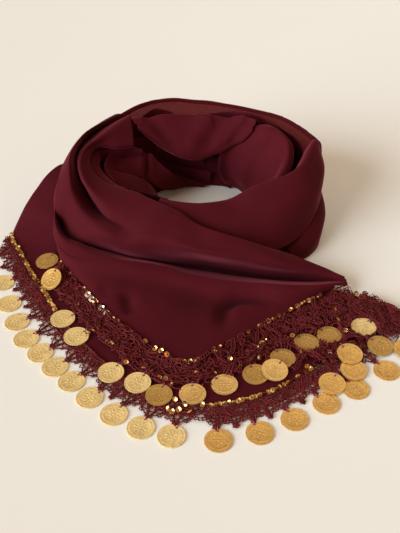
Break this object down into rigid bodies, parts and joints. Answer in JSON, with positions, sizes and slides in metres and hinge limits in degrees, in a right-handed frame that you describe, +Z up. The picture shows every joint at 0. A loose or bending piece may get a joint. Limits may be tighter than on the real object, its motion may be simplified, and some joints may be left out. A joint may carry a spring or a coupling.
{
  "type": "belly dance hip scarf",
  "caption": "Burgundy chiffon hip scarf wound into a loop on a table, its point in front with crocheted trim and hanging brass coins.",
  "frame": {"origin": "centre of the bounding box's bottom, on the table", "axes": "+Z up, -Y towards the point of the scarf, +X to the viewer's right; the loop stands at +Y"},
  "size_m": [0.3936, 0.404, 0.0938],
  "materials": {
    "chiffon": "soft matt polyester chiffon, sheer where it is single",
    "crochet_thread": "slightly glossy twisted thread",
    "stamped_brass": "bright stamped brass"
  },
  "bodies": {
    "root": {"back_swag": "chiffon", "coin_01": "stamped_brass", "coin_02": "stamped_brass", "coin_03": "stamped_brass", "coin_04": "stamped_brass", "coin_05": "stamped_brass", "coin_06": "stamped_brass", "coin_07": "stamped_brass", "coin_08": "stamped_brass", "coin_09": "stamped_brass", "coin_10": "stamped_brass", "coin_11": "stamped_brass", "coin_12": "stamped_brass", "coin_13": "stamped_brass", "coin_14": "stamped_brass", "coin_15": "stamped_brass", "coin_16": "stamped_brass", "coin_17": "stamped_brass", "coin_18": "stamped_brass", "coin_19": "stamped_brass", "coin_20": "stamped_brass", "coin_21": "stamped_brass", "coin_22": "stamped_brass", "coin_23": "stamped_brass", "coin_24": "stamped_brass", "coin_25": "stamped_brass", "coin_26": "stamped_brass", "coin_27": "stamped_brass", "coin_28": "stamped_brass", "coin_29": "stamped_brass", "coin_30": "stamped_brass", "coin_31": "stamped_brass", "coin_32": "stamped_brass", "coin_33": "stamped_brass", "coin_34": "stamped_brass", "coin_35": "stamped_brass", "coin_36": "stamped_brass", "coin_37": "stamped_brass", "corner_trim": "crochet_thread", "front_drape": "chiffon", "inner_turn": "chiffon", "lower_point": "chiffon", "lower_trim_left": "crochet_thread", "lower_trim_right": "crochet_thread", "outer_layer": "chiffon", "right_base_fold": "chiffon", "right_inner_drape": "chiffon", "right_wrap": "chiffon", "top_point": "chiffon", "top_trim_left": "crochet_thread", "top_trim_right": "crochet_thread", "wrap_core": "chiffon"}
  },
  "joints": []
}
